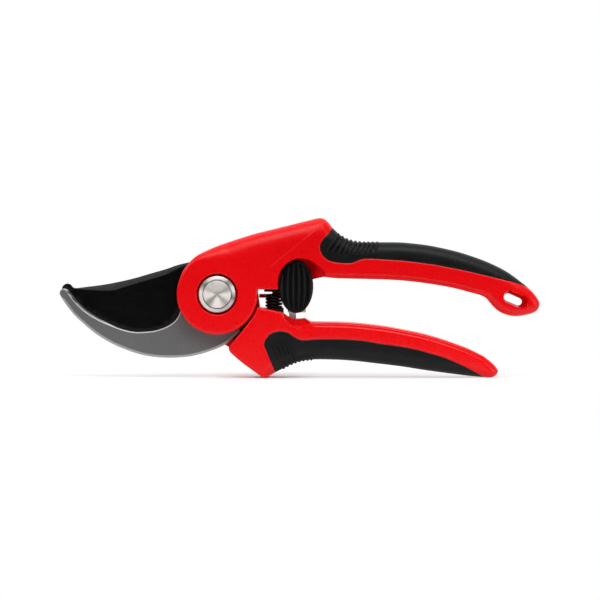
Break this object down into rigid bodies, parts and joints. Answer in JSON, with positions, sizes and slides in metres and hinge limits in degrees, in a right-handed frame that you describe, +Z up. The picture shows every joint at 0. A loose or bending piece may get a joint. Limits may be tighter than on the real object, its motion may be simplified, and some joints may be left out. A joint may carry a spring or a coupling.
{
  "type": "bypass pruning shears",
  "caption": "Hand pruner with a curved bypass blade and hook, red moulded handles with black soft grips, a coil return spring, a sliding thumb lock and a hanging hole.",
  "frame": {"origin": "middle of the closed tool's box in length and thickness, at the level of the lower handle's feet", "axes": "+X along the tool from the jaws to the handles, +Z up as it stands on the lower handle, the bolt head faces -Y"},
  "size_m": [0.2059, 0.018, 0.0682],
  "materials": {
    "red_nylon": "satin moulded glass-filled nylon",
    "soft_grip": "matt soft overmoulding",
    "coated_steel": "black low-friction coating, satin",
    "blasted_steel": "sand-blasted, bright ground edge",
    "turned_steel": "face-turned",
    "polished_steel": "polished",
    "bronze": "sintered",
    "zinc_steel": "zinc plated",
    "spring_steel": "blackened wire",
    "black_nylon": "satin moulded",
    "pale_nylon": "plain"
  },
  "bodies": {
    "lower": {"lower_handle": "red_nylon", "lower_grip": "soft_grip", "cutting_blade": "coated_steel", "blade_dowel_near": "zinc_steel", "blade_dowel_far": "zinc_steel", "lower_spring_seat": "black_nylon", "return_spring": "spring_steel"},
    "upper": {"upper_handle": "red_nylon", "upper_grip": "soft_grip", "hook_blade": "blasted_steel", "hook_dowel_near": "zinc_steel", "hook_dowel_far": "zinc_steel", "upper_spring_seat": "black_nylon", "pivot_bolt": "turned_steel", "pivot_collar": "polished_steel", "pivot_bush": "bronze", "pivot_washer": "zinc_steel", "pivot_nut": "zinc_steel", "nut_insert": "pale_nylon", "lock_leaf": "spring_steel"},
    "lock": {"lock_button": "black_nylon", "lock_slide": "zinc_steel", "lock_plate": "black_nylon", "lock_screw": "zinc_steel"}
  },
  "joints": [
    {"name": "handle_pivot", "type": "hinge", "parent": "lower", "child": "upper", "pos_m": [-0.0355, 0, 0.0359], "axis": [0, -1, 0], "range_deg": [0, 24], "deforming": ["return_spring"]},
    {"name": "lock_slide", "type": "slide", "parent": "upper", "child": "lock", "axis": [1, 0, 0], "range_m": [0, 0.004]}
  ]
}
